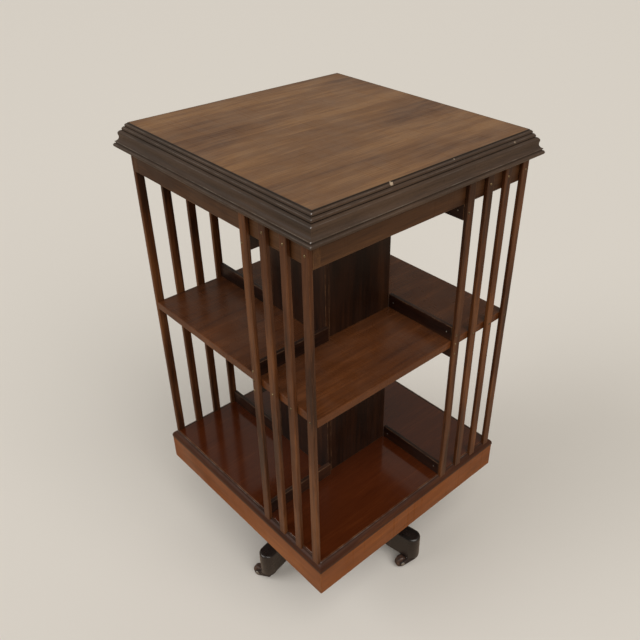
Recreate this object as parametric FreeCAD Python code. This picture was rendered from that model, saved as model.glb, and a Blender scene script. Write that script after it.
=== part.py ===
import FreeCAD, Part
import math
import os

# A square two-tier bookcase that turns on a spindle above a cross of two planks with four castors.
# Origin on the floor under the spindle, +Z up, millimetres.
# The front face looks along -Y, and the right, back and left faces follow it by quarter turns.

# Heights of the case, from the floor up
rim_bottom = 178.0
fascia_height = 55.4
deck_thick = 15.6
lower_tier = 309.5
shelf_thick = 15.0
upper_tier = 259.0
frieze_height = 66.5
top_thick = 18.0

# Widths of the case: half_width is from the spindle to the frieze face
half_width = 230.8
frieze_thick = 12.0
lining_thick = 8.0
fascia_thick = 20.0
fascia_proud = 10.8
panel_thick = 8.0

# Slats: a row of them stands at the right-hand end of each face
slat_width = 15.8
slat_thick = 7.6
slat_pitch = 45.7
slats_per_face = 4
slat_round = 1.6

# Strips that edge the compartments
strip_thick = 8.0
deck_strip_height = 28.0
under_shelf_strip_height = 20.0
over_shelf_strip_height = 28.0
lining_strip_height = 28.0

# Round-headed pins that hold the slats
pin_radius = 0.9
pin_bite = 10.0
pin_head_radius = 2.3
pin_head_height = 1.3
shelf_pin_drop = 4.5
frieze_pin_rise = 20.5

# Rim bead round the deck
bead_quirk_width = 0.8
bead_quirk_depth = 1.2

# Top moulding: reaches are out from the frieze face, drops are down from the top
lip_drop = 2.6
lip_reach = 5.7
lip_foot = 9.0
step_drop = 11.8
step_reach = 8.0
ovolo_reach = 13.3
ovolo_foot = 20.5
quirk_reach = 12.6
quirk_drop = 23.2
cove_reach = 18.0
cove_foot = 29.0
torus_drop = 31.0
torus_reach = 15.4
torus_radius = 5.5

# Cross of two halved planks, turned a little from the case
cross_turn = 10.0
plank_width = 34.0
foot_reach = 215.0
foot_bottom = 30.0
foot_top = 85.0
foot_round = 5.0
arm_flat_end = 180.0
arch_end = 172.0
hub_reach = 62.0
hub_top = 160.0
hub_under = 78.0
hub_under_reach = 85.0

# Pivot
spindle_radius = 11.0
spindle_depth = 60.0
spindle_proud = 12.0
flange_radius = 55.0
flange_thick = 6.0
boss_radius = 25.0
boss_fillet = 8.0
washer_radius = 24.0
washer_thick = 3.0
lower_bush_radius = 35.0
lower_bush_thick = 8.0
lower_sleeve_radius = 18.0
upper_bush_radius = 30.0
upper_bush_thick = 5.0
upper_sleeve_radius = 16.0

# Wood screws
screw_radius = 1.7
screw_length = 18.0
screw_head_radius = 3.5
screw_head_height = 2.0
flange_screw_circle = 43.0
flange_screws = 4
lower_bush_screw_circle = 27.0
upper_bush_screw_circle = 23.0
bush_screws = 3
castor_screw_circle = 11.5
castor_screws = 3

# Castors, one under each foot: the swivel is the direction of the trail at rest
castor_swivels = {"right": 130.0, "back": 140.0, "left": 110.0, "front": 160.0}
castor_plate_radius = 16.5
castor_plate_thick = 3.0
trail = 23.5
wheel_radius = 13.0
wheel_width = 14.0
wheel_edge = 4.0
axle_radius = 3.0
axle_head_radius = 4.6
axle_head_height = 2.0
kingpin_radius = 4.0
kingpin_head_radius = 6.0
kingpin_head_height = 1.5
horn_boss_radius = 8.0
horn_boss_height = 10.5
yoke_height = 8.5
cheek_thick = 3.0
cheek_eye_radius = 6.0
cheek_back = 6.0
cheek_heel = 10.0

# Clearances
running_gap = 0.05
thrust_gap = 0.3
side_gap = 0.5

# How near an edge lies to a level when it is picked for rounding
pick_within = 0.5

# Levels
z_fascia_top = rim_bottom + fascia_height
z_deck = z_fascia_top + deck_thick
z_shelf_under = z_deck + lower_tier
z_shelf = z_shelf_under + shelf_thick
z_lining = z_shelf + upper_tier
z_board = z_lining + frieze_height
z_top = z_board + top_thick

# Places worked out from the sizes
slat_face = half_width + slat_thick
fascia_face = half_width + fascia_proud
inner_slat = half_width - (slats_per_face - 1) * slat_pitch - slat_width
box_half = inner_slat
soffit_drop = torus_drop + 2 * torus_radius
z_bush_under = z_fascia_top - lower_bush_thick
z_boss_top = z_bush_under - thrust_gap - washer_thick
z_plate = foot_bottom - castor_plate_thick
z_horn_top = z_plate - thrust_gap
z_horn_under = z_horn_top - horn_boss_height
cheek_inner = wheel_width / 2 + side_gap
cheek_outer = cheek_inner + cheek_thick

face_names = ("front", "right", "back", "left")
face_turn = {name: 90.0 * i for i, name in enumerate(face_names)}
arm_turn = {"right": 0.0, "back": 90.0, "left": 180.0, "front": 270.0}


def vec(x, y, z):
    return FreeCAD.Vector(x, y, z)


AXIS = vec(0, 0, 1)


def turned(shape, degrees):
    copy = shape.copy()
    copy.rotate(vec(0, 0, 0), AXIS, degrees)
    return copy


def moved(shape, x, y, z):
    copy = shape.copy()
    copy.translate(vec(x, y, z))
    return copy


def block(x0, x1, y0, y1, z0, z1):
    return Part.makeBox(x1 - x0, y1 - y0, z1 - z0, vec(x0, y0, z0))


def drum(radius, z0, z1, x=0.0, y=0.0):
    return Part.makeCylinder(radius, z1 - z0, vec(x, y, z0), AXIS)


def board(half, z0, z1):
    return block(-half, half, -half, half, z0, z1)


def line(p, q):
    return Part.LineSegment(p, q).toShape()


def arc(p, q, sag):
    """Arc from p to q in the YZ plane, whose middle stands sag off the chord, to its left."""
    chord = q - p
    side = vec(0, -chord.z, chord.y)
    side.normalize()
    return Part.Arc(p, (p + q) * 0.5 + side * sag, q).toShape()


def quarter_sag(p, q):
    """Height of a quarter circle above its chord."""
    return (math.sqrt(2) - 1) / 2 * (q - p).Length


def outline(edges):
    return Part.Face(Part.Wire(Part.sortEdges(edges)[0]))


def one_each(shape):
    """The shape on the front face, and its copies on the other three."""
    return {name: turned(shape, face_turn[name]) for name in face_names}


def in_mitre(shape):
    """The part of a front length that lies between the two corner planes."""
    reach = 2 * half_width
    corners = [vec(0, 0, 0), vec(-reach, -reach, 0), vec(reach, -reach, 0), vec(0, 0, 0)]
    wedge = Part.Face(Part.makePolygon(corners)).extrude(vec(0, 0, z_top))
    return shape.common(wedge)


def slat_x(index):
    return half_width - index * slat_pitch - slat_width


def spun(edges, centre, direction):
    return outline(edges).revolve(centre, direction, 360)


def domed_rod(rod_radius, rod_length, head_radius, head_height):
    """A rod down from the origin under a domed head that sits on it."""
    curve = (head_radius ** 2 + head_height ** 2) / (2 * head_height)
    half_angle = math.asin(head_radius / curve) / 2
    middle = vec(curve * math.sin(half_angle), 0, curve * math.cos(half_angle) - curve + head_height)
    rim = vec(head_radius, 0, 0)
    crown = vec(0, 0, head_height)
    foot = vec(0, 0, -rod_length)
    edges = [
        line(foot, vec(rod_radius, 0, -rod_length)),
        line(vec(rod_radius, 0, -rod_length), vec(rod_radius, 0, 0)),
        line(vec(rod_radius, 0, 0), rim),
        Part.Arc(rim, middle, crown).toShape(),
        line(crown, foot),
    ]
    return spun(edges, vec(0, 0, 0), AXIS)


def laid_outwards(shape):
    """Head towards -Y."""
    copy = shape.copy()
    copy.rotate(vec(0, 0, 0), vec(1, 0, 0), 90)
    return copy


def ogee(x0, z0, x1, z1):
    """Two equal arcs in the XZ plane that leave both ends level."""
    run = x1 - x0
    rise = z1 - z0
    radius = (run * run + rise * rise) / (4 * abs(rise))
    half_angle = math.atan(abs(rise / run))
    side = math.copysign(1, run)
    lift = math.copysign(1, rise)
    across = side * radius * math.sin(half_angle)
    up = lift * radius * (1 - math.cos(half_angle))
    start = vec(x0, 0, z0)
    middle = vec((x0 + x1) / 2, 0, (z0 + z1) / 2)
    end = vec(x1, 0, z1)
    first = Part.Arc(start, vec(x0 + across, 0, z0 + up), middle).toShape()
    second = Part.Arc(middle, vec(x1 - across, 0, z1 - up), end).toShape()
    return [first, second]


def screw():
    """A countersunk wood screw, head up at the origin, point down."""
    head = Part.makeCone(screw_radius, screw_head_radius, screw_head_height, vec(0, 0, -screw_head_height))
    shank = drum(screw_radius, -screw_length, -screw_head_height)
    return head.fuse(shank).removeSplitter()


def screw_ring(count, circle, z, point_up=False):
    ring = []
    for i in range(count):
        one = screw()
        if point_up:
            one.rotate(vec(0, 0, 0), vec(1, 0, 0), 180)
        ring.append(turned(moved(one, circle, 0, z), 360.0 / count * i))
    return ring


def cut_all(shape, tools):
    for tool in tools:
        shape = shape.cut(tool)
    return shape


def pin_places():
    """X and Z of each pin on the front face."""
    over_shelf = z_shelf + over_shelf_strip_height / 2
    under_shelf = z_shelf_under - under_shelf_strip_height / 2
    under_lining = z_lining - lining_strip_height / 2
    shelf_level = z_shelf - shelf_pin_drop
    frieze_level = z_lining + frieze_pin_rise
    places = []
    for i in range(slats_per_face):
        x = slat_x(i) + slat_width / 2
        if i == slats_per_face - 1:
            x = inner_slat + strip_thick / 2
            places += [(x, under_shelf), (x, over_shelf), (x, under_lining)]
        else:
            places.append((x, frieze_level))
        places.append((x, shelf_level))
    return places


def front_pins():
    length = slat_thick + pin_bite
    pin = laid_outwards(domed_rod(pin_radius, length, pin_head_radius, pin_head_height))
    return [moved(pin, x, -slat_face, z) for x, z in pin_places()]


def slat_row():
    """The slats of the front face, with their outer arrises rounded."""
    row = []
    for i in range(slats_per_face):
        x = slat_x(i)
        slat = block(x, x + slat_width, -slat_face, -half_width, z_fascia_top, z_top - soffit_drop)
        outer = [
            e for e in slat.Edges
            if abs(e.BoundBox.YMax + slat_face) < pick_within and e.BoundBox.ZLength > slat_width
        ]
        row.append(slat.makeFillet(slat_round, outer))
    return row


def moulding_length():
    y = -half_width
    p = {
        "board": vec(0, y, z_top - lip_drop),
        "lip": vec(0, y - lip_reach, z_top - lip_foot),
        "step_in": vec(0, y - lip_reach, z_top - step_drop),
        "step_out": vec(0, y - step_reach, z_top - step_drop),
        "ovolo": vec(0, y - ovolo_reach, z_top - ovolo_foot),
        "quirk": vec(0, y - quirk_reach, z_top - quirk_drop),
        "cove": vec(0, y - cove_reach, z_top - cove_foot),
        "fillet": vec(0, y - cove_reach, z_top - torus_drop),
        "torus_top": vec(0, y - torus_reach, z_top - torus_drop),
        "torus_foot": vec(0, y - torus_reach, z_top - soffit_drop),
        "back": vec(0, y, z_top - soffit_drop),
    }
    torus_middle = vec(0, y - torus_reach - torus_radius, z_top - torus_drop - torus_radius)
    edges = [
        arc(p["board"], p["lip"], -quarter_sag(p["board"], p["lip"])),
        line(p["lip"], p["step_in"]),
        line(p["step_in"], p["step_out"]),
        arc(p["step_out"], p["ovolo"], -quarter_sag(p["step_out"], p["ovolo"])),
        line(p["ovolo"], p["quirk"]),
        arc(p["quirk"], p["cove"], quarter_sag(p["quirk"], p["cove"])),
        line(p["cove"], p["fillet"]),
        line(p["fillet"], p["torus_top"]),
        Part.Arc(p["torus_top"], torus_middle, p["torus_foot"]).toShape(),
        line(p["torus_foot"], p["back"]),
        line(p["back"], p["board"]),
    ]
    reach = half_width + torus_reach + 2 * torus_radius
    length = outline(edges)
    length.translate(vec(-reach, 0, 0))
    return in_mitre(length.extrude(vec(2 * reach, 0, 0)))


def rim_bead_length():
    inner = -half_width
    quirk = inner - bead_quirk_width
    foot = vec(0, -fascia_face, z_fascia_top)
    crown = vec(0, quirk, z_deck)
    middle = vec(0, quirk - (fascia_proud - bead_quirk_width) * math.cos(math.pi / 4),
                 z_fascia_top + deck_thick * math.sin(math.pi / 4))
    edges = [
        line(vec(0, inner, z_fascia_top), foot),
        Part.Arc(foot, middle, crown).toShape(),
        line(crown, vec(0, quirk, z_deck - bead_quirk_depth)),
        line(vec(0, quirk, z_deck - bead_quirk_depth), vec(0, inner, z_deck - bead_quirk_depth)),
        line(vec(0, inner, z_deck - bead_quirk_depth), vec(0, inner, z_fascia_top)),
    ]
    length = outline(edges)
    length.translate(vec(-fascia_face, 0, 0))
    bead = in_mitre(length.extrude(vec(2 * fascia_face, 0, 0)))
    pockets = [
        block(slat_x(i), slat_x(i) + slat_width, -slat_face, -half_width, z_fascia_top, z_deck)
        for i in range(slats_per_face)
    ]
    return cut_all(bead, pockets)


def fascia_length():
    inner = fascia_face - fascia_thick
    return in_mitre(block(-fascia_face, fascia_face, -fascia_face, -inner, rim_bottom, z_fascia_top))


def frieze_rail():
    """Butts on the rail at its left-hand end and runs to the corner at its right-hand end."""
    return block(-half_width + frieze_thick, half_width, -half_width, -half_width + frieze_thick, z_lining, z_board)


def box_panel(z0, z1):
    return block(-box_half + panel_thick, box_half, -box_half, -box_half + panel_thick, z0, z1)


def strip(z0, z1):
    return block(inner_slat, inner_slat + strip_thick, -half_width, -box_half, z0, z1)


def plank():
    """One bar of the cross along X, before it is halved."""
    tip = foot_reach + plank_width / 2
    under = ogee(arch_end, foot_bottom, hub_under_reach, hub_under)
    under += ogee(-arch_end, foot_bottom, -hub_under_reach, hub_under)
    over = ogee(arm_flat_end, foot_top, hub_reach, hub_top)
    over += ogee(-arm_flat_end, foot_top, -hub_reach, hub_top)
    flats = [line(vec(-hub_under_reach, 0, hub_under), vec(hub_under_reach, 0, hub_under)),
             line(vec(-hub_reach, 0, hub_top), vec(hub_reach, 0, hub_top))]
    for side in (-1, 1):
        flats += [
            line(vec(side * arch_end, 0, foot_bottom), vec(side * tip, 0, foot_bottom)),
            line(vec(side * tip, 0, foot_bottom), vec(side * tip, 0, foot_top)),
            line(vec(side * tip, 0, foot_top), vec(side * arm_flat_end, 0, foot_top)),
        ]
    side_view = outline(under + over + flats)
    side_view.translate(vec(0, -plank_width / 2, 0))
    bar = side_view.extrude(vec(0, plank_width, 0))
    plan = block(-foot_reach, foot_reach, -plank_width / 2, plank_width / 2, 0, hub_top)
    for side in (-1, 1):
        plan = plan.fuse(drum(plank_width / 2, 0, hub_top, side * foot_reach))
    bar = bar.common(plan.removeSplitter()).removeSplitter()
    nose = [
        e for e in bar.Edges
        if abs(e.BoundBox.ZMax - foot_top) < pick_within and e.BoundBox.ZLength < pick_within
        and abs(e.BoundBox.Center.x) > arm_flat_end and e.BoundBox.XLength > pick_within
    ]
    return bar.makeFillet(foot_round, nose)


def castor_place(arm):
    angle = math.radians(cross_turn + arm_turn[arm])
    return foot_reach * math.cos(angle), foot_reach * math.sin(angle)


def put_castor(shape, arm):
    """From the castor's own frame, pivot at the origin and trail along +X, to its foot."""
    x, y = castor_place(arm)
    return moved(turned(shape, castor_swivels[arm]), x, y, 0)


def castor_plate():
    plate = drum(castor_plate_radius, z_plate, foot_bottom)
    pin = drum(kingpin_radius, z_horn_under - thrust_gap, z_plate)
    head_top = z_horn_under - thrust_gap
    head = drum(kingpin_head_radius, head_top - kingpin_head_height, head_top)
    return plate.fuse(pin).fuse(head).removeSplitter()


def castor_horn():
    """The boss and yoke on the kingpin, and two cheeks that end in a round eye for the axle."""
    boss = drum(horn_boss_radius, z_horn_under, z_horn_top)
    yoke_front = trail - wheel_radius - side_gap
    yoke = block(-horn_boss_radius, yoke_front, -cheek_outer, cheek_outer, z_horn_top - yoke_height, z_horn_top)
    third = math.pi / 3
    eye_top = vec(trail + cheek_eye_radius * math.cos(third), 0, wheel_radius + cheek_eye_radius * math.sin(third))
    eye_side = vec(trail + cheek_eye_radius * math.sin(third), 0, wheel_radius - cheek_eye_radius * math.cos(third))
    eye_foot = vec(trail - cheek_eye_radius * math.cos(third), 0, wheel_radius - cheek_eye_radius * math.sin(third))
    top_back = vec(-cheek_back, 0, z_horn_top)
    top_front = vec(yoke_front, 0, z_horn_top)
    heel = vec(-cheek_back, 0, z_horn_top - cheek_heel)
    edges = [
        line(top_back, top_front),
        line(top_front, eye_top),
        Part.Arc(eye_top, eye_side, eye_foot).toShape(),
        line(eye_foot, heel),
        line(heel, top_back),
    ]
    cheek = outline(edges).extrude(vec(0, cheek_thick, 0))
    horn = boss.fuse(yoke)
    horn = horn.fuse(moved(cheek, 0, cheek_inner, 0))
    horn = horn.fuse(moved(cheek, 0, -cheek_outer, 0)).removeSplitter()
    horn = horn.cut(drum(kingpin_radius + running_gap, 0, foot_bottom))
    eye = Part.makeCylinder(axle_radius, 2 * cheek_outer, vec(trail, -cheek_outer, wheel_radius), vec(0, 1, 0))
    return horn.cut(eye)


def castor_axle():
    half = laid_outwards(domed_rod(axle_radius, cheek_outer, axle_head_radius, axle_head_height))
    near = moved(half, trail, -cheek_outer, wheel_radius)
    far = near.mirror(vec(0, 0, 0), vec(0, 1, 0))
    return near.fuse(far).removeSplitter()


def castor_wheel():
    z = wheel_radius
    bore = trail + axle_radius + running_gap
    side = wheel_width / 2
    shoulder = trail + wheel_radius - wheel_edge
    tread = trail + wheel_radius
    edges = [
        line(vec(bore, -side, z), vec(bore, side, z)),
        line(vec(tread, -side + wheel_edge, z), vec(tread, side - wheel_edge, z)),
    ]
    for way in (-1, 1):
        centre = vec(shoulder, way * (side - wheel_edge), z)
        middle = centre + vec(wheel_edge * math.cos(math.pi / 4), way * wheel_edge * math.sin(math.pi / 4), 0)
        edges += [
            line(vec(bore, way * side, z), vec(shoulder, way * side, z)),
            Part.Arc(vec(shoulder, way * side, z), middle, vec(tread, way * (side - wheel_edge), z)).toShape(),
        ]
    return spun(edges, vec(trail, 0, z), vec(0, 1, 0))


def pivot_flange_blank():
    z0 = hub_top
    z1 = hub_top + flange_thick
    edges = [
        line(vec(0, 0, z0), vec(flange_radius, 0, z0)),
        line(vec(flange_radius, 0, z0), vec(flange_radius, 0, z1)),
        line(vec(flange_radius, 0, z1), vec(boss_radius + boss_fillet, 0, z1)),
        Part.Arc(
            vec(boss_radius + boss_fillet, 0, z1),
            vec(boss_radius + boss_fillet * (1 - math.cos(math.pi / 4)), 0,
                z1 + boss_fillet * (1 - math.sin(math.pi / 4))),
            vec(boss_radius, 0, z1 + boss_fillet),
        ).toShape(),
        line(vec(boss_radius, 0, z1 + boss_fillet), vec(boss_radius, 0, z_boss_top)),
        line(vec(boss_radius, 0, z_boss_top), vec(0, 0, z_boss_top)),
        line(vec(0, 0, z_boss_top), vec(0, 0, z0)),
    ]
    return spun(edges, vec(0, 0, 0), AXIS)


def base_nodes():
    spindle_foot = hub_top - spindle_depth
    spindle_top = z_shelf + upper_bush_thick + spindle_proud
    spindle = drum(spindle_radius, spindle_foot, spindle_top)
    flange_ring = [turned(s, cross_turn) for s in
                   screw_ring(flange_screws, flange_screw_circle, hub_top + flange_thick)]
    foot_rings = []
    plates = []
    for arm in arm_turn:
        ring = screw_ring(castor_screws, castor_screw_circle, z_plate, point_up=True)
        foot_rings += [put_castor(s, arm) for s in ring]
        plates.append(cut_all(put_castor(castor_plate(), arm), foot_rings[-castor_screws:]))
    screws = flange_ring + foot_rings
    halving = (hub_under + hub_top) / 2
    half_lap = plank_width / 2
    lower = plank().cut(block(-half_lap, half_lap, -half_lap, half_lap, halving, hub_top))
    upper = plank().cut(block(-half_lap, half_lap, -half_lap, half_lap, hub_under, halving))
    lower = turned(lower, cross_turn)
    upper = turned(upper, cross_turn + 90)
    washer = drum(washer_radius, z_boss_top, z_boss_top + washer_thick)
    return {
        "cross_bar_lower": cut_all(lower, screws + [spindle]),
        "cross_bar_upper": cut_all(upper, screws + [spindle]),
        "pivot_flange": cut_all(pivot_flange_blank(), flange_ring + [spindle]),
        "spindle": spindle,
        "thrust_washer": washer.cut(spindle),
        "castor_plates": plates,
        "base_screws": screws,
    }


def castor_nodes():
    nodes = {}
    for arm in arm_turn:
        nodes["castor_horn_" + arm] = put_castor(castor_horn(), arm)
        nodes["castor_axle_" + arm] = put_castor(castor_axle(), arm)
        nodes["castor_wheel_" + arm] = put_castor(castor_wheel(), arm)
    return nodes


def case_nodes():
    shaft = drum(spindle_radius + running_gap, 0, z_top)
    lower_screws = screw_ring(bush_screws, lower_bush_screw_circle, z_bush_under, point_up=True)
    upper_screws = screw_ring(bush_screws, upper_bush_screw_circle, z_shelf + upper_bush_thick)
    lower_bush = drum(lower_bush_radius, z_bush_under, z_fascia_top)
    lower_bush = lower_bush.fuse(drum(lower_sleeve_radius, z_fascia_top, z_deck)).removeSplitter()
    upper_bush = drum(upper_bush_radius, z_shelf, z_shelf + upper_bush_thick)
    upper_bush = upper_bush.fuse(drum(upper_sleeve_radius, z_shelf_under, z_shelf)).removeSplitter()
    pins = [turned(pin, face_turn[name]) for name in face_names for pin in front_pins()]
    deck = board(half_width, z_fascia_top, z_deck).cut(drum(lower_sleeve_radius, 0, z_top))
    shelf = board(half_width, z_shelf_under, z_shelf).cut(drum(upper_sleeve_radius, 0, z_top))
    nodes = {
        "deck_board": cut_all(deck, lower_screws),
        "shelf_board": cut_all(shelf, upper_screws + pins),
        "lining_board": board(half_width - frieze_thick, z_lining, z_lining + lining_thick),
        "top_board": board(half_width, z_board, z_top),
        "lower_bush": cut_all(lower_bush, lower_screws + [shaft]),
        "upper_bush": cut_all(upper_bush, upper_screws + [shaft]),
        "bush_screws": lower_screws + upper_screws,
        "slat_pins": pins,
    }
    per_face = {
        "rim_fascia_": fascia_length(),
        "rim_bead_": rim_bead_length(),
        "lower_box_panel_": box_panel(z_deck, z_shelf_under),
        "upper_box_panel_": box_panel(z_shelf, z_lining),
        "frieze_": cut_all(frieze_rail(), front_pins()),
        "top_moulding_": moulding_length(),
    }
    for prefix, shape in per_face.items():
        for name, copy in one_each(shape).items():
            nodes[prefix + name] = copy
    row = [cut_all(slat, front_pins()) for slat in slat_row()]
    for name in face_names:
        nodes["slats_" + name] = [turned(slat, face_turn[name]) for slat in row]
    levels = {
        "deck_strips": (z_deck, z_deck + deck_strip_height),
        "under_shelf_strips": (z_shelf_under - under_shelf_strip_height, z_shelf_under),
        "over_shelf_strips": (z_shelf, z_shelf + over_shelf_strip_height),
        "lining_strips": (z_lining - lining_strip_height, z_lining),
    }
    for name, (z0, z1) in levels.items():
        one = cut_all(strip(z0, z1), front_pins())
        nodes[name] = list(one_each(one).values())
    return nodes


def export(nodes):
    os.makedirs("parts", exist_ok=True)
    for name, shape in nodes.items():
        whole = Part.makeCompound(shape) if isinstance(shape, list) else shape
        whole.exportStep("parts/" + name + ".step")


export(base_nodes())
export(castor_nodes())
export(case_nodes())
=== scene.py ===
# %% [markdown]
# A two-tier revolving bookcase in dark mahogany, dressed for a still picture.
# The construction comes in as a fixed frame: every board, slat and castor is already at its real
# place and size, in metres. This script adds what the frame doesn't have: the camera, the light,
# boards with hand-worn arrises, a moulding run in four mitred lengths, small nails, and the
# finishes of old polished wood, iron and brass.

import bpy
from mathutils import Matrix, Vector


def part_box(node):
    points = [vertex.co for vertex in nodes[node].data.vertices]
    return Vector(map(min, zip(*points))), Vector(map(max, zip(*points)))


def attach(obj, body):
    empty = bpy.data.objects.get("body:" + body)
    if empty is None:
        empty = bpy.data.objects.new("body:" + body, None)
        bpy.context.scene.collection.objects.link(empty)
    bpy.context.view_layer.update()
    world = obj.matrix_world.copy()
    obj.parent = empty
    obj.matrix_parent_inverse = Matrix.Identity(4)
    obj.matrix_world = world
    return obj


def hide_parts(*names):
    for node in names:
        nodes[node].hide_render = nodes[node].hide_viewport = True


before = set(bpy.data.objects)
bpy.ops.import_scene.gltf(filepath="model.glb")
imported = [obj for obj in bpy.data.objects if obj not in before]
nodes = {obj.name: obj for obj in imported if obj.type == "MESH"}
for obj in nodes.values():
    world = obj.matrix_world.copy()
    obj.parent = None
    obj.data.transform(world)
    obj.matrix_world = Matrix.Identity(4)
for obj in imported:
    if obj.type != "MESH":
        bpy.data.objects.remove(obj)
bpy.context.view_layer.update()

# %% Tools of the trade
import math

import bmesh
import bpy
from mathutils import Matrix, Vector, noise

FACES = ("front", "right", "back", "left")
ARMS = ("right", "back", "left", "front")

# %% [markdown]
# The camera stands where the photographer stood. Its place and turn were solved from the straight
# edges of the case, so they are written as a position and three axes and not as a guess by eye.
# The picture is a little off the lens axis, which the two shift values say.

# %% Camera
CAMERA_PLACE = Vector((-0.7546, -0.8582, 1.2922))
CAMERA_RIGHT = Vector((0.7279, -0.6856, 0.0072))
CAMERA_DOWN = Vector((-0.3750, -0.4069, -0.8329))
CAMERA_FORWARD = Vector((0.5740, 0.6036, -0.5533))
SENSOR = 36.0
PICTURE = 640
FOCAL_PIXELS = 717.05
CENTRE_PIXELS = (353.26, 323.38)


def make_camera():
    data = bpy.data.cameras.new("camera")
    data.sensor_width = SENSOR
    data.lens = SENSOR * FOCAL_PIXELS / PICTURE
    data.shift_x = (PICTURE / 2 - CENTRE_PIXELS[0]) / PICTURE
    data.shift_y = (CENTRE_PIXELS[1] - PICTURE / 2) / PICTURE
    camera = bpy.data.objects.new("camera", data)
    bpy.context.collection.objects.link(camera)
    turn = Matrix((CAMERA_RIGHT, -CAMERA_DOWN, -CAMERA_FORWARD)).transposed()
    camera.matrix_world = Matrix.Translation(CAMERA_PLACE) @ turn.to_4x4()
    bpy.context.scene.camera = camera
    print("lens mm", round(data.lens, 2))


make_camera()

# %% [markdown]
# Materials are node trees. Two small helpers keep them readable: one adds a node and sets or links
# its inputs in the same call, and one opens a node group with named inputs and outputs. A group is
# built once and then placed in every material that needs its effect, with that material's values.

# %% Helpers for nodes


def linear(red, green, blue):
    """A colour written as 0 to 255, as read on a screen, in the linear values that nodes use."""
    values = (channel / 255 for channel in (red, green, blue))
    return tuple(v / 12.92 if v < 0.04 else ((v + 0.055) / 1.055) ** 2.4 for v in values) + (1.0,)


def add(tree, kind, inputs=None, **settings):
    node = tree.nodes.new("ShaderNode" + kind)
    for name, value in settings.items():
        setattr(node, name, value)
    for key, value in (inputs or {}).items():
        if isinstance(value, bpy.types.NodeSocket):
            tree.links.new(value, node.inputs[key])
        else:
            node.inputs[key].default_value = value
    return node


def sum_of(tree, operation, first, second=0.0):
    return add(tree, "Math", {0: first, 1: second}, operation=operation).outputs[0]


def mix(tree, factor, first, second, blend="MIX"):
    inputs = {"Factor": factor, 6: first, 7: second}
    return add(tree, "Mix", inputs, data_type="RGBA", blend_type=blend).outputs[2]


def between(tree, value, low, high, to_low=0.0, to_high=1.0):
    """Value from low to high, stretched over to_low to to_high, with soft ends."""
    inputs = {"Value": value, "From Min": low, "From Max": high, "To Min": to_low, "To Max": to_high}
    return add(tree, "MapRange", inputs, interpolation_type="SMOOTHSTEP").outputs[0]


def stretched(tree, vector, scale):
    return add(tree, "Mapping", {"Vector": vector, "Scale": scale}).outputs[0]


def cloud(tree, vector, scale, detail=3.0, roughness=0.55, distortion=0.0):
    inputs = {"Vector": vector, "Scale": scale, "Detail": detail, "Roughness": roughness,
              "Distortion": distortion}
    return add(tree, "TexNoise", inputs).outputs["Fac"]


def open_group(name, inputs, outputs):
    group = bpy.data.node_groups.new(name, "ShaderNodeTree")
    for label, kind in inputs.items():
        group.interface.new_socket(label, in_out="INPUT", socket_type="NodeSocket" + kind)
    for label, kind in outputs.items():
        group.interface.new_socket(label, in_out="OUTPUT", socket_type="NodeSocket" + kind)
    given = group.nodes.new("NodeGroupInput").outputs
    made = group.nodes.new("NodeGroupOutput").inputs
    return group, given, made


def place_group(tree, group, inputs):
    node = tree.nodes.new("ShaderNodeGroup")
    node.node_tree = group
    for key, value in inputs.items():
        if isinstance(value, bpy.types.NodeSocket):
            tree.links.new(value, node.inputs[key])
        else:
            node.inputs[key].default_value = value
    return node.outputs


# %% [markdown]
# Mahogany has a straight, rather quiet grain: long streaks a few millimetres wide, finer fibres
# between them, and short dark pores like pencil dashes. All three are noise that is stretched
# along the grain. The group takes its vector with the grain already along Z, so a material only
# has to turn the object's coordinates. A slow cloud bends the streaks, because no board is ruled.

# %% Node group: straight grain


def make_grain_group():
    inputs = {"Vector": "Vector", "Dark": "Color", "Middle": "Color", "Pale": "Color",
              "Streaks": "Float", "Patches": "Float"}
    outputs = {"Color": "Color", "Height": "Float"}
    group, given, made = open_group("straight_grain", inputs, outputs)
    slow = add(group, "TexNoise", {"Vector": stretched(group, given["Vector"], (1, 1, 0.35)), "Scale": 5.0,
                                   "Detail": 2.0}).outputs["Color"]
    centred = add(group, "VectorMath", {0: slow, 1: (0.5, 0.5, 0.5)}, operation="SUBTRACT").outputs[0]
    drift = add(group, "VectorMath", {0: centred, "Scale": 0.035}, operation="SCALE").outputs[0]
    bent = add(group, "VectorMath", {0: given["Vector"], 1: drift}, operation="ADD").outputs[0]

    wide = cloud(group, stretched(group, bent, (1, 1, 0.07)), 55.0, 4.0, 0.62)
    fine = cloud(group, stretched(group, bent, (1, 1, 0.03)), 420.0, 3.0, 0.6)
    pores = cloud(group, stretched(group, bent, (1, 1, 0.045)), 1500.0, 1.0, 0.5)
    patch = cloud(group, stretched(group, given["Vector"], (1, 1, 0.45)), 9.0, 3.0, 0.5)

    streak = between(group, wide, 0.33, 0.67)
    fibre = between(group, fine, 0.3, 0.7, -0.5, 0.5)
    dash = between(group, pores, 0.6, 0.72)
    shade = sum_of(group, "MULTIPLY", fibre, 0.35)
    lean = add(group, "Math", {0: between(group, patch, 0.3, 0.7, -0.5, 0.5), 1: given["Patches"], 2: 0.5},
               operation="MULTIPLY_ADD").outputs[0]
    wave = add(group, "Math", {0: sum_of(group, "SUBTRACT", streak, 0.5), 1: given["Streaks"], 2: lean},
               operation="MULTIPLY_ADD").outputs[0]
    tone = sum_of(group, "ADD", wave, shade)
    low = mix(group, between(group, tone, 0.0, 0.5), given["Dark"], given["Middle"])
    body = mix(group, between(group, tone, 0.5, 1.0), low, given["Pale"])
    pored = mix(group, sum_of(group, "MULTIPLY", dash, 0.45), body, given["Dark"])
    group.links.new(pored, made["Color"])
    relief = sum_of(group, "SUBTRACT", sum_of(group, "MULTIPLY", fine, 0.5), dash)
    group.links.new(relief, made["Height"])
    return group


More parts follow.
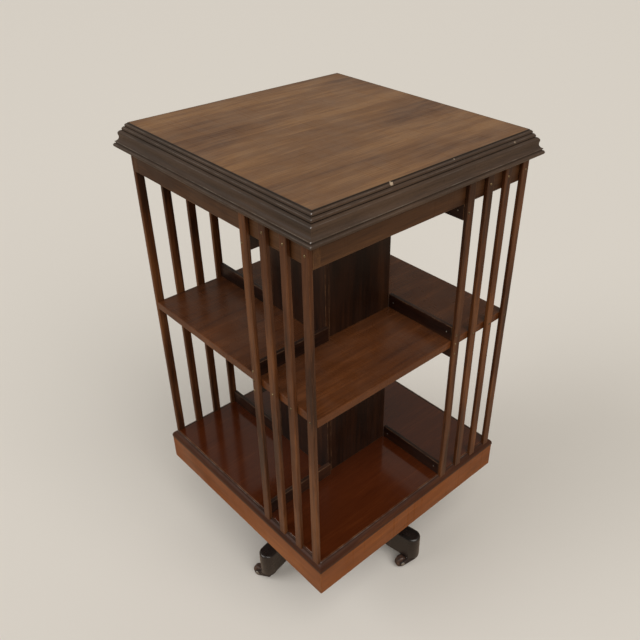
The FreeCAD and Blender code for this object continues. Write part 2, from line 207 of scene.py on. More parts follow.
GRAIN = make_grain_group()
print("grain group nodes", len(GRAIN.nodes))

# %% [markdown]
# Hands and cloths wear a bookcase first along its arrises. Each board made below carries an
# attribute called arris, which is 1 on the rounded edge and 0 a few millimetres in, so the wear
# group only has to break it up with noise. The wood there is rubbed paler; on the mouldings and
# the rim bead the rubbed tone is a pale grey, partly wear and partly painted highlight. A second
# attribute, quirk, marks the narrow hollows and joints, which are painted nearly black:
# partly wax and dirt where a cloth never reaches, partly painted shade. A third, shade, says how
# much darker one lath is than its neighbours, and a fourth, knock_and_glint, marks the grey-white
# spots where each arris of a moulding meets the mitre: partly bare wood, partly painted highlight.

# %% Node group: worn arrises, with painted highlight and painted shade


def make_wear_group():
    inputs = {"Vector": "Vector", "Color": "Color", "Rubbed and sheen": "Color", "Amount": "Float"}
    group, given, made = open_group("arris_wear_sheen_and_shade", inputs, {"Color": "Color"})
    arris = add(group, "Attribute", attribute_name="arris").outputs["Fac"]
    broad = cloud(group, given["Vector"], 38.0, 3.0, 0.6)
    fine = cloud(group, given["Vector"], 260.0, 2.0, 0.6)
    patchy = sum_of(group, "MULTIPLY", between(group, broad, 0.38, 0.66, 0.15, 1.0),
                    between(group, fine, 0.25, 0.6, 0.4, 1.0))
    edge = between(group, arris, 0.35, 1.0)
    mask = sum_of(group, "MULTIPLY", sum_of(group, "MULTIPLY", edge, patchy), given["Amount"])
    # pale rubbed arrises: wear, and where the rubbed tone is grey also a painted highlight
    rubbed_and_sheen = mix(group, mask, given["Color"], given["Rubbed and sheen"])
    # grey-white spots at the mitres: bare wood and painted highlight
    knock_and_glint = between(group, add(group, "Attribute", attribute_name="knock_and_glint").outputs["Fac"], 0.25, 0.8)
    broken = sum_of(group, "MULTIPLY", knock_and_glint, between(group, fine, 0.4, 0.6, 0.25, 1.0))
    knocked_and_glinting = mix(group, broken, rubbed_and_sheen, linear(186, 184, 186))
    # near-black hollows and joints: grime and painted shade
    quirk = add(group, "Attribute", attribute_name="quirk").outputs["Fac"]
    grime_and_shade_mask = between(group, quirk, 0.1, 0.7, 0.0, 0.92)
    shade = add(group, "Attribute", attribute_name="shade").outputs["Fac"]
    toned = mix(group, shade, knocked_and_glinting, linear(30, 20, 12))
    group.links.new(mix(group, grime_and_shade_mask, toned, linear(18, 13, 11)), made["Color"])
    return group


WEAR_SHEEN_AND_SHADE = make_wear_group()

# %% [markdown]
# French polish on an old case is never even. It is glossier where it was rubbed, cloudy in
# patches, and crossed by hair-fine scratches. The group puts out a roughness and a height from
# smears and from two sets of long thin noise laid across each other.

# %% Node group: old polish


def make_polish_group():
    inputs = {"Vector": "Vector", "Gloss": "Float", "Matt": "Float"}
    outputs = {"Roughness": "Float", "Height": "Float"}
    group, given, made = open_group("old_polish", inputs, outputs)
    smears = cloud(group, given["Vector"], 14.0, 4.0, 0.6, 0.6)
    scratches = []
    for turn, scale in ((0.5, 260.0), (-0.9, 320.0)):
        rotated = add(group, "Mapping", {"Vector": given["Vector"], "Rotation": (0.3, 0.2, turn),
                                         "Scale": (1, 0.02, 0.02)}).outputs[0]
        scratches.append(between(group, cloud(group, rotated, scale, 0.0), 0.7, 0.78))
    crossed = sum_of(group, "MAXIMUM", *scratches)
    level = between(group, smears, 0.3, 0.7)
    spread = sum_of(group, "SUBTRACT", given["Matt"], given["Gloss"])
    rough = add(group, "Math", {0: level, 1: spread, 2: given["Gloss"]},
                operation="MULTIPLY_ADD").outputs[0]
    scratched = add(group, "Math", {0: crossed, 1: 0.12, 2: rough}, operation="MULTIPLY_ADD").outputs[0]
    group.links.new(scratched, made["Roughness"])
    relief = sum_of(group, "SUBTRACT", sum_of(group, "MULTIPLY", smears, 0.3), crossed)
    group.links.new(relief, made["Height"])
    return group


POLISH = make_polish_group()

# %% [markdown]
# Dust settles on faces that look up. The mask is the upward part of the surface's own direction,
# broken by a soft cloud, and it greys the colour very slightly.

# %% Node group: dust


def make_dust_group():
    inputs = {"Vector": "Vector", "Color": "Color", "Amount": "Float"}
    group, given, made = open_group("settled_dust", inputs, {"Color": "Color"})
    facing = add(group, "SeparateXYZ", {0: add(group, "NewGeometry").outputs["Normal"]}).outputs["Z"]
    upward = between(group, facing, 0.6, 1.0)
    veil = between(group, cloud(group, given["Vector"], 22.0, 4.0, 0.65), 0.35, 0.7, 0.25, 1.0)
    mask = sum_of(group, "MULTIPLY", sum_of(group, "MULTIPLY", upward, veil), given["Amount"])
    group.links.new(mix(group, mask, given["Color"], linear(150, 146, 138)), made["Color"])
    return group


DUST = make_dust_group()

# %% [markdown]
# Three small knocks on the edge of the top have broken through the stain to pale wood. Each is a
# ragged spot at a written place on the object.

# %% Node group: chips
TOP_CHIPS = ((-0.0912, -0.2332, 0.9152, 0.0038), (0.0398, -0.2325, 0.9156, 0.0014),
             (0.182, -0.2375, 0.9082, 0.0018))


def make_chip_group():
    inputs = {"Vector": "Vector", "Color": "Color", "Place": "Vector", "Reach": "Float"}
    group, given, made = open_group("pale_chip", inputs, {"Color": "Color"})
    ragged = add(group, "TexNoise", {"Vector": given["Vector"], "Scale": 700.0}).outputs["Color"]
    shift = add(group, "VectorMath", {0: ragged, 1: (0.5, 0.5, 0.5)}, operation="SUBTRACT").outputs[0]
    small = add(group, "VectorMath", {0: shift, "Scale": 0.006}, operation="SCALE").outputs[0]
    moved = add(group, "VectorMath", {0: given["Vector"], 1: small}, operation="ADD").outputs[0]
    apart = add(group, "VectorMath", {0: moved, 1: given["Place"]}, operation="DISTANCE").outputs["Value"]
    mask = between(group, sum_of(group, "DIVIDE", apart, given["Reach"]), 0.6, 1.0, 1.0, 0.0)
    group.links.new(mix(group, mask, given["Color"], linear(184, 166, 144)), made["Color"])
    return group


CHIP = make_chip_group()

# %% [markdown]
# One function makes every polished wood from these groups. It turns the coordinates so that the
# grain runs the way the board was sawn, and takes three tones read from the real piece. The
# polish is a thin clear coat over the stained wood.

# %% Wood finishes
GRAIN_TURNS = {"x": (0, math.pi / 2, 0), "y": (math.pi / 2, 0, 0), "z": (0, 0, 0)}
CROSS_TURN = math.radians(10)


def make_wood(name, along, dark, middle, pale, gloss=0.3, matt=0.5, streaks=0.7, patches=0.6,
              rubbed_and_sheen=(150, 110, 76), wear_and_sheen=0.5, dust=0.04, coat=0.06, shine=0.25, relief=0.12,
              turn=0.0, chips=()):
    material = bpy.data.materials.new(name)
    material.use_nodes = True
    tree = material.node_tree
    shader = tree.nodes["Principled BSDF"]
    place = add(tree, "TexCoord").outputs["Object"]
    straight = add(tree, "Mapping", {"Vector": place, "Rotation": (0, 0, -turn)}).outputs[0]
    sawn = add(tree, "Mapping", {"Vector": straight, "Rotation": GRAIN_TURNS[along]}).outputs[0]
    tones = {"Dark": linear(*dark), "Middle": linear(*middle), "Pale": linear(*pale)}
    grain = place_group(tree, GRAIN, {"Vector": sawn, "Streaks": streaks, "Patches": patches, **tones})
    polish = place_group(tree, POLISH, {"Vector": place, "Gloss": gloss, "Matt": matt})
    worn = place_group(tree, WEAR_SHEEN_AND_SHADE, {"Vector": place, "Color": grain["Color"],
                                    "Rubbed and sheen": linear(*rubbed_and_sheen), "Amount": wear_and_sheen})
    dusty = place_group(tree, DUST, {"Vector": place, "Color": worn["Color"], "Amount": dust})
    colour = dusty["Color"]
    for chip in chips:
        colour = place_group(tree, CHIP, {"Vector": place, "Color": colour, "Place": chip[:3],
                                          "Reach": chip[3]})["Color"]
    tree.links.new(colour, shader.inputs["Base Color"])
    tree.links.new(polish["Roughness"], shader.inputs["Roughness"])
    height = sum_of(tree, "ADD", sum_of(tree, "MULTIPLY", grain["Height"], 0.6), polish["Height"])
    bump = add(tree, "Bump", {"Height": height, "Distance": 0.00025, "Strength": relief})
    tree.links.new(bump.outputs[0], shader.inputs["Normal"])
    shader.inputs["Specular IOR Level"].default_value = shine
    shader.inputs["Coat Weight"].default_value = coat
    shader.inputs["Coat Roughness"].default_value = 0.2
    return material


WOODS = {
    "polished_top": make_wood("polished_top", "x", (88, 58, 38), (116, 82, 54), (138, 101, 66),
                              gloss=0.34, streaks=0.45, patches=0.5, dust=0.08, chips=TOP_CHIPS),
    "slat_wood": make_wood("slat_wood", "z", (56, 31, 16), (88, 51, 27), (116, 72, 40), streaks=0.6),
    # box panels darkened: their own dark wood and painted shade inside the case
    "panel_wood_and_shade": make_wood("panel_wood_and_shade", "z", (28, 15, 9), (44, 24, 14), (64, 38, 23), streaks=0.5),
    "lining_wood": make_wood("lining_wood", "x", (44, 26, 18), (62, 40, 28), (82, 56, 40)),
    "deck_wood": make_wood("deck_wood", "x", (62, 25, 9), (75, 33, 13), (90, 43, 18), gloss=0.08,
                           matt=0.14, streaks=0.25, patches=0.2, wear_and_sheen=0.4, coat=0.25, shine=0.45,
                           dust=0.0, relief=0.02),
    "shelf_wood": make_wood("shelf_wood", "x", (70, 36, 16), (88, 48, 22), (108, 62, 31), gloss=0.2,
                            matt=0.36, streaks=0.4, wear_and_sheen=0.3, rubbed_and_sheen=(124, 76, 42)),
}
for along in ("x", "y"):
    # grey rubbed crowns of the moulding: wear and painted highlight
    WOODS["moulding_" + along] = make_wood(
        "moulding_" + along, along, (48, 36, 28), (64, 48, 37), (80, 61, 47), gloss=0.34, matt=0.45,
        streaks=0.35, wear_and_sheen=0.8, shine=0.4, rubbed_and_sheen=(164, 156, 148), chips=TOP_CHIPS if along == "x" else ())
    WOODS["frieze_" + along] = make_wood(
        "frieze_" + along, along, (58, 34, 19), (80, 51, 29), (98, 66, 39), streaks=0.5)
    WOODS["fascia_" + along] = make_wood(
        "fascia_" + along, along, (106, 57, 21), (128, 70, 27), (148, 86, 36), streaks=0.4, wear_and_sheen=0.6)
    # grey rubbed crown of the bead: wear and painted highlight
    WOODS["bead_" + along] = make_wood(
        "bead_" + along, along, (50, 27, 17), (64, 35, 22), (82, 48, 30), matt=0.42, streaks=0.4,
        wear_and_sheen=0.8, shine=0.15, coat=0.03, rubbed_and_sheen=(156, 148, 142))
    # strips darkened: their own dark wood and painted shade inside the compartments
    WOODS["strip_" + along] = make_wood(
        "strip_" + along, along, (28, 14, 8), (42, 22, 14), (62, 36, 23))
    WOODS["cross_" + along] = make_wood(
        "cross_" + along, along, (17, 11, 10), (28, 19, 17), (41, 30, 26), gloss=0.2, matt=0.34,
        streaks=0.5, turn=CROSS_TURN, dust=0.05, wear_and_sheen=0.0, shine=0.5, coat=0.3, relief=0.05)
print("wood finishes", len(WOODS))

# %% [markdown]
# The iron of the castors and the pivot plate is black and dull with brown showing through, the
# brass of the pins is dark in its hollows, and the spindle is bare greasy steel. One group mixes
# a clean and a tarnished tone and says how rough each is.

# %% Metal finishes


def make_tarnish_group():
    inputs = {"Vector": "Vector", "Clean": "Color", "Tarnished": "Color", "Cover": "Float"}
    outputs = {"Color": "Color", "Roughness": "Float", "Mask": "Float"}
    group, given, made = open_group("tarnish", inputs, outputs)
    spots = cloud(group, given["Vector"], 170.0, 5.0, 0.65)
    grain = cloud(group, given["Vector"], 900.0, 2.0, 0.5)
    shifted = sum_of(group, "ADD", spots, sum_of(group, "MULTIPLY", given["Cover"], 0.3))
    mask = between(group, shifted, 0.45, 0.75)
    group.links.new(mix(group, mask, given["Clean"], given["Tarnished"]), made["Color"])
    group.links.new(sum_of(group, "ADD", between(group, mask, 0.0, 1.0, 0.28, 0.6),
                           sum_of(group, "MULTIPLY", grain, 0.08)), made["Roughness"])
    group.links.new(mask, made["Mask"])
    return group


TARNISH = make_tarnish_group()


def make_metal(name, clean, tarnished, cover, metallic=1.0):
    material = bpy.data.materials.new(name)
    material.use_nodes = True
    tree = material.node_tree
    shader = tree.nodes["Principled BSDF"]
    place = add(tree, "TexCoord").outputs["Object"]
    skin = place_group(tree, TARNISH, {"Vector": place, "Clean": linear(*clean),
                                       "Tarnished": linear(*tarnished), "Cover": cover})
    tree.links.new(skin["Color"], shader.inputs["Base Color"])
    tree.links.new(skin["Roughness"], shader.inputs["Roughness"])
    bare = between(tree, skin["Mask"], 0.0, 1.0, metallic, 0.6 * metallic)
    tree.links.new(bare, shader.inputs["Metallic"])
    pitted = add(tree, "Bump", {"Height": skin["Mask"], "Distance": 0.0002, "Strength": 0.3})
    tree.links.new(pitted.outputs[0], shader.inputs["Normal"])
    return material


METALS = {
    "black_iron": make_metal("black_iron", (96, 88, 84), (48, 38, 36), 0.6, 0.7),
    "bare_steel": make_metal("bare_steel", (168, 166, 160), (96, 86, 76), 0.1),
    "old_brass": make_metal("old_brass", (196, 172, 120), (110, 88, 56), 0.15),
    "dull_pins": make_metal("dull_pins", (148, 128, 96), (74, 61, 46), 0.35),
    "castor_wheel": make_metal("castor_wheel", (86, 62, 50), (56, 40, 34), 0.4, 0.0),
}
print("metal finishes", list(METALS))

# %% [markdown]
# Every board of the case starts as a cube that is stretched to the board's real box. Insetting
# its six faces leaves a narrow margin along each arris, so the bevel stays at the edge and the
# wear attribute has somewhere to fade out. Cuts across the length then give the arrises enough
# points to wander, as they do on wood that was planed by hand and knocked for a century.

# %% Boards with worn arrises
WEAR_MARGIN = 0.0025
WANDER = 0.00035
BOARD_CUTS = 0.03


def cut_mitres(bm):
    """Trim a front length to the two corner planes, and close both ends."""
    for way in (1, -1):
        geometry = bm.verts[:] + bm.edges[:] + bm.faces[:]
        cut = bmesh.ops.bisect_plane(bm, geom=geometry, plane_co=(0, 0, 0), plane_no=(way, 1, 0),
                                     clear_outer=True, dist=1e-7)
        rim = [item for item in cut["geom_cut"] if isinstance(item, bmesh.types.BMEdge)]
        bmesh.ops.contextual_create(bm, geom=rim)


def cross_cuts(bm, spacing):
    """Cut a long piece across its length at even steps."""
    spans = [[vert.co[axis] for vert in bm.verts] for axis in range(3)]
    axis = max(range(3), key=lambda a: max(spans[a]) - min(spans[a]))
    start, end = min(spans[axis]), max(spans[axis])
    count = int((end - start) / spacing)
    direction = Vector([float(a == axis) for a in range(3)])
    for step in range(1, count):
        geometry = bm.verts[:] + bm.edges[:] + bm.faces[:]
        bmesh.ops.bisect_plane(bm, geom=geometry, plane_no=direction,
                               plane_co=direction * (start + (end - start) * step / count), dist=1e-6)


def soften(bm, radius):
    """Round the arrises of one board, mark them for wear and let them wander inwards."""
    bm.normal_update()
    planes = [(face.calc_center_median(), face.normal.copy()) for face in bm.faces]
    arrises = bm.edges[:]
    sides = sorted(max(v.co[a] for v in bm.verts) - min(v.co[a] for v in bm.verts) for a in range(3))
    margin = min(WEAR_MARGIN, 0.3 * sides[0])
    bmesh.ops.inset_individual(bm, faces=bm.faces[:], thickness=margin, use_even_offset=True)
    bmesh.ops.bevel(bm, geom=arrises, offset=radius, offset_type="OFFSET", affect="EDGES",
                    segments=3, profile=0.5, material=-1)
    cross_cuts(bm, BOARD_CUTS)
    bm.normal_update()
    layer = bm.verts.layers.float.new("arris")
    for vert in bm.verts:
        near = sorted(abs((vert.co - point).dot(normal)) for point, normal in planes)[1]
        vert[layer] = max(0.0, 1.0 - near / margin)
    for vert in bm.verts:
        if vert[layer] > 0.3:
            hollow = noise.noise(vert.co * 45.0) + 0.5 * noise.noise(vert.co * 160.0)
            vert.co -= vert.normal * WANDER * max(0.0, hollow)
    for face in bm.faces:
        face.smooth = all(abs(face.normal.dot(normal)) < 0.999 for _, normal in planes)


def board(low, high, radius=0.0009, mitred=False):
    bm = bmesh.new()
    bmesh.ops.create_cube(bm, size=1)
    bmesh.ops.scale(bm, vec=Vector(high) - Vector(low), verts=bm.verts)
    bmesh.ops.translate(bm, vec=(Vector(low) + Vector(high)) / 2, verts=bm.verts)
    if mitred:
        cut_mitres(bm)
    soften(bm, radius)
    return bm


def face_turn(face):
    return Matrix.Rotation(math.pi / 2 * FACES.index(face), 3, "Z")


def finish_piece(name, parts, material, replaced, face="front", body="case"):
    """Join the parts in one mesh, turn it to its face, and hang it on its body."""
    mesh = bpy.data.meshes.new(name)
    whole = bmesh.new()
    for part in parts:
        part.to_mesh(mesh)
        whole.from_mesh(mesh)
        part.free()
    bmesh.ops.rotate(whole, cent=(0, 0, 0), matrix=face_turn(face), verts=whole.verts)
    whole.to_mesh(mesh)
    whole.free()
    mesh.materials.append(material)
    piece = bpy.data.objects.new(name, mesh)
    bpy.context.collection.objects.link(piece)
    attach(piece, body)
    if replaced:
        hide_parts(replaced)
    return piece


def along_axis(face):
    return "x" if face in ("front", "back") else "y"


# %% [markdown]
# The top panel is one flat board, grain from left to right, let in behind the moulding. Only a
# thin line shows between the two, painted dark for old wax and for the shade in the joint.

# %% Top panel


def node_board(node, radius=0.0009, mitred=False):
    low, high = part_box(node)
    return board(low, high, radius, mitred)


def let_in(bm):
    """The edge of a board that is let in isn't worn: it is a joint, dark with old wax and painted shade.
    """
    joint_grime_and_shade = bm.verts.layers.float.new("quirk")
    worn = bm.verts.layers.float["arris"]
    for vert in bm.verts:
        vert[joint_grime_and_shade] = vert[worn]
        vert[worn] = 0.0
    return bm


top = finish_piece("top_panel", [let_in(node_board("top_board"))], WOODS["polished_top"],
                   "top_board")
print("top panel faces", len(top.data.polygons))

# %% [markdown]
# Frieze rails and rim fascias are plain boards round the case. The rails butt on each other, so an
# end grain shows at the left end of each face; the fascias are mitred.

# %% Friezes and fascias
for face in FACES:
    finish_piece("frieze_rail_" + face, [node_board("frieze_" + face)],
                 WOODS["frieze_" + along_axis(face)], "frieze_" + face)
    fascia = finish_piece("rim_board_" + face, [node_board("rim_fascia_front", 0.0014, True)],
                          WOODS["fascia_" + along_axis(face)], "rim_fascia_" + face, face)
print("fascia faces", len(fascia.data.polygons))

# %% [markdown]
# Four slats stand at the right-hand end of each face. They are thin laths with well rounded
# arrises, and no two are quite alike, which the wandering edge takes care of.

# %% Slats
HALF_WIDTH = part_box("top_board")[1][0]
SLAT_WIDTH = 0.0158
SLAT_PITCH = 0.0457
SLAT_SHADES = (0.08, 0.0, 0.05, 0.1)


def slat_row():
    low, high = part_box("slats_front")
    laths = []
    for index, shade in enumerate(SLAT_SHADES):
        right = HALF_WIDTH - index * SLAT_PITCH
        lath = board((right - SLAT_WIDTH, low[1], low[2]), (right, high[1], high[2]), 0.0016)
        layer = lath.verts.layers.float.new("shade")
        for vert in lath.verts:
            vert[layer] = shade
        laths.append(lath)
    return laths


for face in FACES:
    row = finish_piece("slat_row_" + face, slat_row(), WOODS["slat_wood"],
                       "slats_" + face, face)
print("slat row faces", len(row.data.polygons))

# %% [markdown]
# The tiers are divided by a box of thin upright panels, and strips edge the compartments above
# and below. They are the same kind of board with a finer arris. Their dark tones hold painted
# shade for the inside of the case as well as the wood's own colour.

# %% Box panels and strips
BOX_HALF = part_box("lower_box_panel_front")[1][0]
STRIP_THICK = 0.008


STRIP_NODES = ("deck_strips", "under_shelf_strips", "over_shelf_strips", "lining_strips")


def strip(node):
    low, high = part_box(node)
    return board((BOX_HALF, -HALF_WIDTH, low[2]), (BOX_HALF + STRIP_THICK, -BOX_HALF, high[2]), 0.0007)


for tier in ("lower", "upper"):
    for face in FACES:
        node = tier + "_box_panel_" + face
        finish_piece(tier + "_panel_" + face, [node_board(node, 0.0006)], WOODS["panel_wood_and_shade"],
                     node)
for node in STRIP_NODES:
    for face in FACES:
        across = "y" if along_axis(face) == "x" else "x"
        finish_piece(node + "_" + face, [strip(node)], WOODS["strip_" + across],
                     node, face)

# %% [markdown]
# Each strip is held by two small wire nails in its side, with heads like flattened domes.

# %% Nails in the strips
NAIL_RADIUS = 0.0015
NAIL_STAND = 0.0006
NAIL_INSET = 0.012


def nail(x, y, z):
    bm = bmesh.new()
    bmesh.ops.create_uvsphere(bm, u_segments=12, v_segments=6, radius=NAIL_RADIUS)
    bmesh.ops.scale(bm, vec=(NAIL_STAND / NAIL_RADIUS, 1, 1), verts=bm.verts)
    bmesh.ops.translate(bm, vec=(x, y, z), verts=bm.verts)
    for face in bm.faces:
        face.smooth = True
    return bm


def strip_nails():
    heads = []
    for node in STRIP_NODES:
        low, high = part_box(node)
        middle = (low[2] + high[2]) / 2
        for y in (-HALF_WIDTH + NAIL_INSET, -BOX_HALF - NAIL_INSET):
            heads.append(nail(BOX_HALF, y, middle))
    return heads


for face in FACES:
    nails = finish_piece("strip_nails_" + face, strip_nails(), METALS["bare_steel"],
                         None, face)
print("nail faces on one side", len(nails.data.polygons))

# %% [markdown]
# The shelf and the deck are square boards with a round hole in the middle for the bush. Bridging
# a ring of points to the same ring pushed out to a square gives clean faces; extruding them gives
# the thickness. Only the outer arris is softened, because the hole is never seen.

# %% Shelf and deck
RING_POINTS = 32
SHELF_HOLE = 0.016
DECK_HOLE = 0.018
OUTER_ARRIS = 0.0012
OUTER_WEAR = 0.002


def holed_board(node, hole):
    low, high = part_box(node)
    bm = bmesh.new()
    inner = bmesh.ops.create_circle(bm, segments=RING_POINTS, radius=hole)["verts"]
    outer = bmesh.ops.create_circle(bm, segments=RING_POINTS, radius=high[0])["verts"]
    for vert in outer:
        vert.co *= high[0] / max(abs(vert.co.x), abs(vert.co.y))
    bmesh.ops.bridge_loops(bm, edges=bm.edges[:])
    bmesh.ops.translate(bm, vec=(0, 0, low[2]), verts=bm.verts)
    raised = bmesh.ops.extrude_face_region(bm, geom=bm.faces[:])["geom"]
    lifted = [item for item in raised if isinstance(item, bmesh.types.BMVert)]
    bmesh.ops.translate(bm, vec=(0, 0, high[2] - low[2]), verts=lifted)
    bmesh.ops.recalc_face_normals(bm, faces=bm.faces[:])
    for normal in ((1, 0, 0), (-1, 0, 0), (0, 1, 0), (0, -1, 0)):
        geometry = bm.verts[:] + bm.edges[:] + bm.faces[:]
        bmesh.ops.bisect_plane(bm, geom=geometry, plane_no=normal, dist=1e-6,
                               plane_co=Vector(normal) * (high[0] - WEAR_MARGIN))
    reach = high[0] - 1e-5
    rim = [edge for edge in bm.edges if edge.calc_face_angle(0) > 1
           and all(max(abs(v.co.x), abs(v.co.y)) > reach for v in edge.verts)]
    bmesh.ops.bevel(bm, geom=rim, offset=OUTER_ARRIS, offset_type="OFFSET", affect="EDGES",
                    segments=3, profile=0.5, material=-1)
    layer = bm.verts.layers.float.new("arris")
    for vert in bm.verts:
        vert[layer] = float(max(abs(vert.co.x), abs(vert.co.y)) > high[0] - OUTER_WEAR)
    return bm


shelf = finish_piece("shelf", [holed_board("shelf_board", SHELF_HOLE)], WOODS["shelf_wood"],
                     "shelf_board")
deck = finish_piece("deck", [holed_board("deck_board", DECK_HOLE)], WOODS["deck_wood"],
                    "deck_board")
print("shelf faces", len(shelf.data.polygons), "deck faces", len(deck.data.polygons))

# %% [markdown]
# Mouldings were run with shaped planes in one length and mitred at the corners. Here a section is
# drawn from its top edge down: a point is extruded for each flat and spun for each round, and the
# closed section is then pushed along the side.

# %% Sections drawn with spin and extrude
MITRE_WEAR_AND_GLINT = 0.0025
QUIRK_WIDTH = 0.0016
ROUGH_REACH = 0.3
SECTION_CUTS = 0.02
CREASE = math.radians(28)


def add_flat(bm, last, y, z):
    new = bmesh.ops.extrude_vert_indiv(bm, verts=[last])["verts"][0]
    new.co = Vector((last.co.x, y, z))
    return new


def add_round(bm, last, y, z, hollow=False, angle=math.pi / 2, steps=6):
    """An arc from the last point to (y, z), bulging out of the wood, or into it when hollow."""
    end = Vector((last.co.x, y, z))
    chord = end - last.co
    side = Vector((0, -chord.z, chord.y)) * (-1 if hollow else 1)
    centre = (last.co + end) / 2 + side / (2 * math.tan(angle / 2))
    swing = angle * (-1 if hollow else 1)
    made = bmesh.ops.spin(bm, geom=[last], cent=centre, axis=(1, 0, 0), dvec=(0, 0, 0), angle=swing,
                          steps=steps, use_merge=False, use_duplicate=False)
    return [item for item in made["geom_last"] if isinstance(item, bmesh.types.BMVert)][0]


def close_section(bm, last, first):
    bm.edges.new((last, first))
    bmesh.ops.contextual_create(bm, geom=bm.edges[:])


def push_along(bm):
    """Extrude the section along X from -ROUGH_REACH to ROUGH_REACH, mitre it and cut it across."""
    raised = bmesh.ops.extrude_face_region(bm, geom=bm.faces[:])["geom"]
    far = [item for item in raised if isinstance(item, bmesh.types.BMVert)]
    bmesh.ops.translate(bm, vec=(2 * ROUGH_REACH, 0, 0), verts=far)
    cut_mitres(bm)
    bmesh.ops.recalc_face_normals(bm, faces=bm.faces[:])
    cross_cuts(bm, SECTION_CUTS)


def mark_wear_sheen_and_shade(bm, lines, quirks, width, along=1.0):
    """Mark the arrises (lines) and hollows (quirks), given as places (y, z) in the section.

    An arris is rubbed pale, which is wear and also painted highlight, and fades out over width.
    Its mark is as strong as along says, and full at the mitre, where a grey-white knock_and_glint
    spot is marked too. The hollows get painted shade as well as grime.
    """
    for way in (1, -1):
        geometry = bm.verts[:] + bm.edges[:] + bm.faces[:]
        bmesh.ops.bisect_plane(bm, geom=geometry, plane_co=(0, -MITRE_WEAR_AND_GLINT, 0),
                               plane_no=(way, 1, 0), dist=1e-6)
    for name in ("arris", "quirk", "knock_and_glint"):
        bm.verts.layers.float.new(name)
    floats = bm.verts.layers.float
    layer, grime_and_shade_layer, knock_and_glint_layer = floats["arris"], floats["quirk"], floats["knock_and_glint"]
    bm.normal_update()
    for vert in bm.verts:
        reach = min(math.hypot(vert.co.y - y, vert.co.z - z) for y, z in lines)
        depth = min(math.hypot(vert.co.y - y, vert.co.z - z) for y, z in quirks)
        from_mitre = -vert.co.y - abs(vert.co.x)
        arris = max(0.0, 1.0 - reach / width)
        near_mitre = max(0.0, 1.0 - from_mitre / MITRE_WEAR_AND_GLINT)
        vert[layer] = arris * max(along, near_mitre)
        vert[knock_and_glint_layer] = arris * near_mitre
        vert[grime_and_shade_layer] = max(0.0, 1.0 - depth / QUIRK_WIDTH)
    for vert in bm.verts:
        if vert[layer] > 0.5:
            hollow = noise.noise(vert.co * 40.0) + 0.6 * noise.noise(vert.co * 150.0)
            vert.co -= vert.normal * WANDER * max(0.0, hollow)
    for face in bm.faces:
        face.smooth = True
    for edge in bm.edges:
        edge.smooth = edge.calc_face_angle(0) < CREASE


# %% [markdown]
# The section of the top moulding has two small beads under the edge of the top, a round shoulder
# that runs down into a wide cove, a fillet, and a torus at the foot. Each place is written as
# metres out from the case and metres down from the top.

# %% Top moulding
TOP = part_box("top_board")[1][2]
JOINT = (0.0, 0.0012)
FIRST_BEAD = (0.0036, 0.0056)
FIRST_QUIRK = (0.0029, 0.0064)
SECOND_LEDGE = (0.0038, 0.0066)
SECOND_BEAD = (0.0076, 0.012)
SECOND_QUIRK = (0.0069, 0.0129)
SHOULDER_LEDGE = (0.0084, 0.0131)
SHOULDER = (0.0132, 0.0195)
COVE_TOP = (0.0126, 0.022)
COVE_LIP = (0.0182, 0.0315)
FILLET_FOOT = (0.0182, 0.0328)
LAST_QUIRK = (0.0168, 0.0334)
TORUS_TOP = (0.0172, 0.0346)
TORUS_FOOT = (0.0172, 0.042)
SOFFIT = (0.0, 0.042)
# these crowns are rubbed pale grey: wear and painted highlight
CROWNS = ((0.0026, 0.0024), (0.0066, 0.0085), (0.0118, 0.0152), COVE_LIP, (0.0204, 0.0366))
# these hollows are painted near black: grime and painted shade
QUIRKS = (JOINT, FIRST_QUIRK, SECOND_QUIRK, LAST_QUIRK, SOFFIT)
CROWN_WEAR_AND_SHEEN = 0.002
CROWN_STRENGTH = 0.7


def at(place):
    out, drop = place
    return -HALF_WIDTH - out, TOP - drop


def moulding_length():
    bm = bmesh.new()
    first = bm.verts.new((-ROUGH_REACH, *at(JOINT)))
    point = add_round(bm, first, *at(FIRST_BEAD))
    point = add_flat(bm, point, *at(FIRST_QUIRK))
    point = add_flat(bm, point, *at(SECOND_LEDGE))
    point = add_round(bm, point, *at(SECOND_BEAD))
    point = add_flat(bm, point, *at(SECOND_QUIRK))
    point = add_flat(bm, point, *at(SHOULDER_LEDGE))
    point = add_round(bm, point, *at(SHOULDER))
    point = add_flat(bm, point, *at(COVE_TOP))
    point = add_round(bm, point, *at(COVE_LIP), hollow=True)
    point = add_flat(bm, point, *at(FILLET_FOOT))
    point = add_flat(bm, point, *at(LAST_QUIRK))
    point = add_flat(bm, point, *at(TORUS_TOP))
    point = add_round(bm, point, *at(TORUS_FOOT), angle=math.pi, steps=10)
    point = add_flat(bm, point, *at(SOFFIT))
    close_section(bm, point, first)
    push_along(bm)
    crowns = [at(place) for place in CROWNS]
    mark_wear_sheen_and_shade(bm, crowns, [at(place) for place in QUIRKS], CROWN_WEAR_AND_SHEEN, CROWN_STRENGTH)
    return bm


for face in FACES:
    moulding = finish_piece("moulding_" + face, [moulding_length()], WOODS["moulding_" + along_axis(face)],
                            "top_moulding_" + face, face)
print("moulding box mm", [round(1000 * v, 1) for v in moulding.bound_box[0]])

# %% [markdown]
# The rim bead is a quarter round that lies on the fascia, a hair away from the deck, so a dark
# line shows between them, deepened with painted shade. Its crown carries a thin pale grey line,
# partly rubbed wood and partly painted highlight, with a line of painted shade beside it.

# %% Rim bead
BEAD_RADIUS = 0.0138
BEAD_GAP = 0.0008
BEAD_GAP_DEPTH = 0.0012
BEAD_STEPS = 14
BEAD_LIGHT = 0.001
BEAD_SHADE_LINE = (0.0034, 0.0005)
BEAD_WEAR_AND_SHEEN = 0.0018


